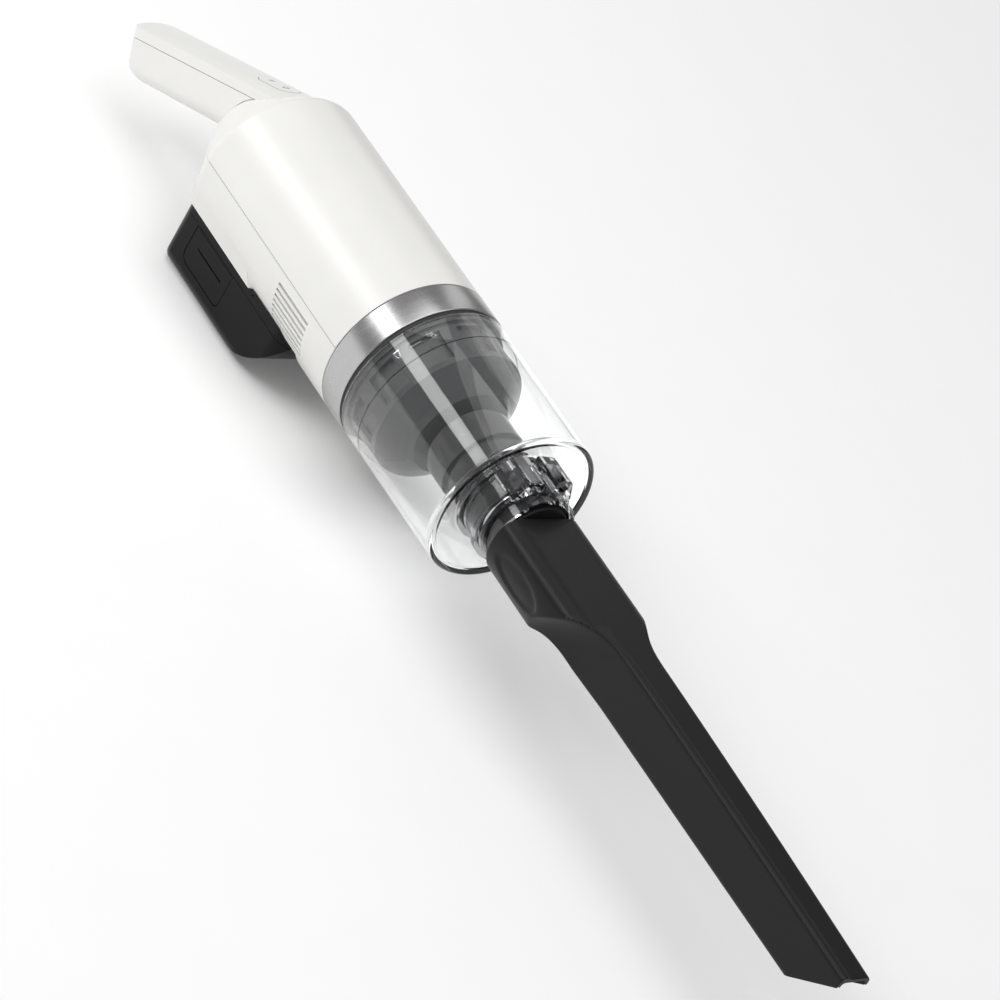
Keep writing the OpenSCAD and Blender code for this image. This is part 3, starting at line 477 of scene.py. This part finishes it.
# a power ring with its bar, and two level bars, printed on the button
MARK_LOW, MARK_HIGH = 0.0, BUTTON_PROUD + 0.06
for name, path in (("mark_ring", arc(BUTTON_X + 5.5, 0, 1.5, 40, 320, 18)),
                   ("mark_bar", [(BUTTON_X + 5.9, 0), (BUTTON_X + 7.4, 0)]),
                   ("mark_level_1", [(BUTTON_X - 5.5, -1.3), (BUTTON_X - 5.5, 1.3)]),
                   ("mark_level_2", [(BUTTON_X - 7.0, -1.3), (BUTTON_X - 7.0, 1.3)])):
    ribbon(name, path, MARK_HALF, MARK_LOW, MARK_HIGH, "button", "hairline")

# ---------------------------------------------------------------- crevice tool

TOOL_X0, TOOL_X1, TOOL_R = 119.6, 382.0, 23.3
TOP0, TOP1, BOTTOM0, BOTTOM1, BEAD = 12.0, 8.8, -15.0, -15.5, 1.1
HALF0, HALF1 = 10.7, 8.7
SWEEP_X, SWEEP_Z, SWEEP_R, SWEEP_DEG, BELLY_X, BELLY_R = 169.4, -24, 20.0, 46.3, 168.0, 24.0
MOUTH_SLANT, MOUTH_TOP, TOOL_WALL = 24.0, TOP1 - 4.5, 1.9
BEAD_W, BEAD_SOFT = 4.3, 1.2
SLEEVE_X1, TIP_X0, RING_STEP, BLADE_STEP = 214, 366, 0.9, 4.0  # where rings are close or far
DIMPLE = (143.5, -4.0, 18.0, 6.8, 1.1)  # centre x and z, half length, half height, depth
BLADE_X0, BLADE_RUN, TOP_TAPER_X, SIDE_TAPER_X, MOUTH_X = 186, 24, 215, 210, 300
CORE_Z, BORE_R, LIP, LIP_IN, LIP_OUT = -2.0, 15.1, 0.35, 0.985, 1.03
SPIGOT_X0, SPIGOT_R, SEAL_X0, SEAL_X1, SEAL_DEPTH = 100, 17.45, 107.8, 110.2, 1.3
FAR = 60.0  # stands for no surface in that direction


def soft_max(a, b, k):
    """The larger of two distances, rounded where they are closer than k."""
    h = np.clip(0.5 + 0.5 * (a - b) / k, 0, 1)
    return a * h + b * (1 - h) + k * h * (1 - h)


def tool_distance(x, y, z, wall, k):
    """Roughly the distance outside the tool's surface at (x, y, z)."""
    top_taper = np.clip((x - TOP_TAPER_X) / (TOOL_X1 - TOP_TAPER_X), 0, 1) ** 1.6
    top = TOP0 - (TOP0 - TOP1) * top_taper
    blade = np.clip((x - BLADE_X0) / BLADE_RUN, 0, 1)
    half = HALF0 + (HALF1 - HALF0) * np.clip((x - SIDE_TAPER_X) / (TOOL_X1 - SIDE_TAPER_X), 0, 1)
    # a raised bead along one edge of the blade's top
    if not wall:
        top = top + BEAD * blade * (0.5 - 0.5 * np.tanh((y + half - BEAD_W) / BEAD_SOFT))
    belly = np.sqrt(np.clip(BELLY_R**2 - (x - BELLY_X) ** 2, 0, None))
    bottom = np.where(x < BELLY_X, BOTTOM0 - BELLY_R + belly,
                      BOTTOM0 + (BOTTOM1 - BOTTOM0) * (x - BELLY_X) / (TOOL_X1 - BELLY_X))
    bottom = np.where(x < BELLY_X - BELLY_R, -FAR, bottom)
    # the sleeve's sides sweep in to the blade along a tilted hollow
    turn = math.radians(SWEEP_DEG)
    u = (x - SWEEP_X) * math.cos(turn) - (z - SWEEP_Z) * math.sin(turn)
    hollow = HALF0 + SWEEP_R - np.sqrt(np.clip(SWEEP_R**2 - u**2, 0, None))
    side = np.where(u > 0, half, hollow)
    side = np.where(u < -SWEEP_R, FAR, side)
    d = np.sqrt(y * y + z * z) - (TOOL_R - wall)
    d = soft_max(d, z - (top - wall), k * (7 - 5 * blade))
    d = soft_max(d, bottom + wall - z, k)
    return soft_max(d, np.abs(y) - (side - wall), k * (1 + 2.2 * blade))


def tool_rings(stations, wall, k, count=168):
    """Outlines of the tool at the stations, set back where the mouth slants: x, y and z arrays
    with a row for each ring and a column for each point."""
    angle = TAU * np.arange(count) / count
    # more points toward the blade's corners
    angle = angle + 0.16 * np.sin(4 * angle + 0.4)
    dy, dz = np.cos(angle), np.sin(angle)
    column = np.array(stations)[:, None]
    share = np.clip((column - MOUTH_X) / (TOOL_X1 - MOUTH_X), 0, 1)
    mouth = np.zeros(count)
    # each pass slants the mouth by the height that the last one found there
    for _ in range(3):
        xs = column - share * mouth
        low, high = np.zeros_like(xs), np.full_like(xs, 30.0)
        for _ in range(36):
            mid = (low + high) / 2
            inside = tool_distance(xs, mid * dy, CORE_Z + mid * dz, wall, k) < 0
            low, high = np.where(inside, mid, low), np.where(inside, high, mid)
        radius = (low + high) / 2
        z = CORE_Z + radius[-1] * dz
        mouth = MOUTH_SLANT * np.clip((MOUTH_TOP - z) / (MOUTH_TOP - BOTTOM1), 0, 1)
    return xs, radius * dy, CORE_Z + radius * dz


def dimple(x, y, z):
    """Moves the sleeve's sides in to a shallow oval finger rest."""
    cx, cz, length, height, depth = DIMPLE
    oval = np.sqrt(((x - cx) / length) ** 2 + ((z - cz) / height) ** 2)
    pull = depth * (0.5 - 0.5 * np.tanh((oval - 0.93) / 0.07)) * (np.abs(y) > 12)
    return y - np.sign(y) * pull


def crevice_tool():
    """The tool's body as one closed skin, outside and inside, and the spigot behind it."""
    outer = list(np.arange(TOOL_X0, SLEEVE_X1, RING_STEP))
    outer += list(np.arange(SLEEVE_X1, TIP_X0, BLADE_STEP))
    outer += list(np.linspace(TIP_X0, TOOL_X1, 12))
    ox, oy, oz = tool_rings(outer, 0.0, 1.0)
    oy = dimple(ox, oy, oz)
    inner = [TOOL_X1, 376, 360, 340, 300, 260, 225]
    inner += list(np.arange(SLEEVE_X1, TOOL_X0 + 2, -3.0)) + [TOOL_X0 + 2]
    ix, iy, iz = (rings[::-1] for rings in tool_rings(inner[::-1], TOOL_WALL, 0.6))
    # round bore at the rear, flattened where the top is
    angle = np.arctan2(iz[-1] - CORE_Z, iy[-1])
    by, bz = BORE_R * np.cos(angle), np.minimum(BORE_R * np.sin(angle), TOP0 - TOOL_WALL)
    rings = [(ox[0], oy[0] * LIP_IN, oz[0] * LIP_IN), (ox[0] + LIP, oy[0], oz[0])]
    rings += list(zip(ox[1:], oy[1:], oz[1:]))
    # rounded lip at the mouth
    rings += [(ox[-1] + LIP, oy[-1] * LIP_IN, oz[-1] * LIP_IN),
              (ix[0] + LIP, iy[0] * LIP_OUT, iz[0] * LIP_OUT)]
    rings += list(zip(ix, iy, iz))
    rings += [(ix[-1], by, bz), (np.full_like(by, TOOL_X0), by, bz)]
    count = ox.shape[1]
    points = [(float(x[j]), float(y[j]), float(z[j])) for x, y, z in rings for j in range(count)]
    mesh_piece("tool_body", points, grid_faces(len(rings), count, True), "tool", "tool_black",
               ["crevice_tool"], sharp=50)
    groove, end = SPIGOT_R - SEAL_DEPTH, TOOL_X0 - 0.05
    lathe("tool_spigot", [
        (SPIGOT_X0, SPIGOT_R, 0.4), (SEAL_X0, SPIGOT_R, 0.1), (SEAL_X0, groove, 0.1),
        (SEAL_X1, groove, 0.1), (SEAL_X1, SPIGOT_R, 0.1), (end, SPIGOT_R, 0.3), (end, 10, 0),
        (TOOL_X0 - 2.2, 10, 0.2), (TOOL_X0 - 2.2, BORE_R, 0.5), (SPIGOT_X0, BORE_R, 0.3)],
        "tool", "tool_black", steps=4)


crevice_tool()

# ---------------------------------------------------------------- camera, lights and floor

CAMERA_AT = (1.1114, -1.1417, 0.9585)
VIEW_AZIMUTH, VIEW_ELEVATION, VIEW_ROLL = 39.19, 31.45, 32.44
LENS, SENSOR = 140.08, 36
LIT_POINT = (0.1, 0, 0.06)
ROOM, BACKDROP = 0.25, 0.93
LIGHTS = (
    # strip behind and to the right: the bright line on the bin, ring and body
    ("strip_box", (-132, 32), 1.6, (0.42, 1.8), 11, -64.5),
    ("side_box", (132, 34), 2.2, (0.5, 1.4), 1.6, 0.0),
    ("top_box", (-70, 78), 3.5, (4.5, 4.5), 98, 0.0),
)
FLOOR_SIZE, FLOOR_CELLS, FLOOR_DROP = 14.0, 24, 0.0002


def add_camera():
    data = bpy.data.cameras.new("camera")
    data.lens, data.sensor_width = LENS, SENSOR
    data.clip_start, data.clip_end = 0.05, 20
    cam = bpy.data.objects.new("camera", data)
    a, e = math.radians(VIEW_AZIMUTH), math.radians(VIEW_ELEVATION)
    forward = Vector((-math.sin(a) * math.cos(e), math.cos(a) * math.cos(e), -math.sin(e)))
    right = forward.cross(Vector((0, 0, 1))).normalized()
    up = right.cross(forward)
    roll = math.radians(VIEW_ROLL)
    right, up = (right * math.cos(roll) + up * math.sin(roll),
                 up * math.cos(roll) - right * math.sin(roll))
    turn = Matrix((right, up, -forward)).transposed().to_4x4()
    cam.matrix_world = Matrix.Translation(CAMERA_AT) @ turn
    bpy.context.scene.collection.objects.link(cam)
    bpy.context.scene.camera = cam


def area_light(name, direction, distance, size, power, spin):
    """A soft box facing the lit point, in the direction (azimuth, elevation) from it."""
    az, el = math.radians(direction[0]), math.radians(direction[1])
    away = Vector((math.cos(az) * math.cos(el), math.sin(az) * math.cos(el), math.sin(el)))
    data = bpy.data.lights.new(name, "AREA")
    data.shape, data.size, data.size_y, data.energy = "RECTANGLE", size[0], size[1], power
    light = bpy.data.objects.new(name, data)
    turn = away.to_track_quat("Z", "Y").to_matrix().to_4x4()
    turn = turn @ Matrix.Rotation(math.radians(spin), 4, "Z")
    light.matrix_world = Matrix.Translation(Vector(LIT_POINT) + away * distance) @ turn
    bpy.context.scene.collection.objects.link(light)


def add_stage():
    world = bpy.data.worlds.new("studio")
    world.use_nodes = True
    nodes, links = world.node_tree.nodes, world.node_tree.links
    room = nodes["Background"]
    room.inputs["Color"].default_value = (1, 1, 1, 1)
    room.inputs["Strength"].default_value = ROOM
    # a white backdrop straight ahead and through clear plastic, a dim room in reflections
    backdrop = nodes.new("ShaderNodeBackground")
    backdrop.inputs["Strength"].default_value = BACKDROP
    path = nodes.new("ShaderNodeLightPath")
    seen = nodes.new("ShaderNodeMath")
    seen.operation = "MAXIMUM"
    mix = nodes.new("ShaderNodeMixShader")
    links.new(path.outputs["Is Camera Ray"], seen.inputs[0])
    links.new(path.outputs["Transmission Depth"], seen.inputs[1])
    links.new(seen.outputs["Value"], mix.inputs[0])
    links.new(room.outputs["Background"], mix.inputs[1])
    links.new(backdrop.outputs["Background"], mix.inputs[2])
    links.new(mix.outputs["Shader"], nodes["World Output"].inputs["Surface"])
    bpy.context.scene.world = world
    bpy.context.scene.view_settings.view_transform = "Standard"
    for light in LIGHTS:
        area_light(*light)
    n, row = FLOOR_CELLS, FLOOR_CELLS + 1
    steps = [FLOOR_SIZE * (i / n - 0.5) for i in range(row)]
    verts = [(x, y, -FLOOR_DROP) for x in steps for y in steps]
    faces = [(i * row + j, (i + 1) * row + j, (i + 1) * row + j + 1, i * row + j + 1)
             for i in range(n) for j in range(n)]
    mesh = bpy.data.meshes.new("floor")
    mesh.from_pydata(verts, [], faces)
    floor = bpy.data.objects.new("floor", mesh)
    bpy.context.scene.collection.objects.link(floor)
    mesh.materials.append(moulded("floor_white", (0.90, 0.90, 0.90), 0.9, 60, contrast=0.004,
                                  Specular_IOR_Level=0.0, Emission_Color=(1, 1, 1, 1),
                                  Emission_Strength=0.10))


add_camera()
add_stage()
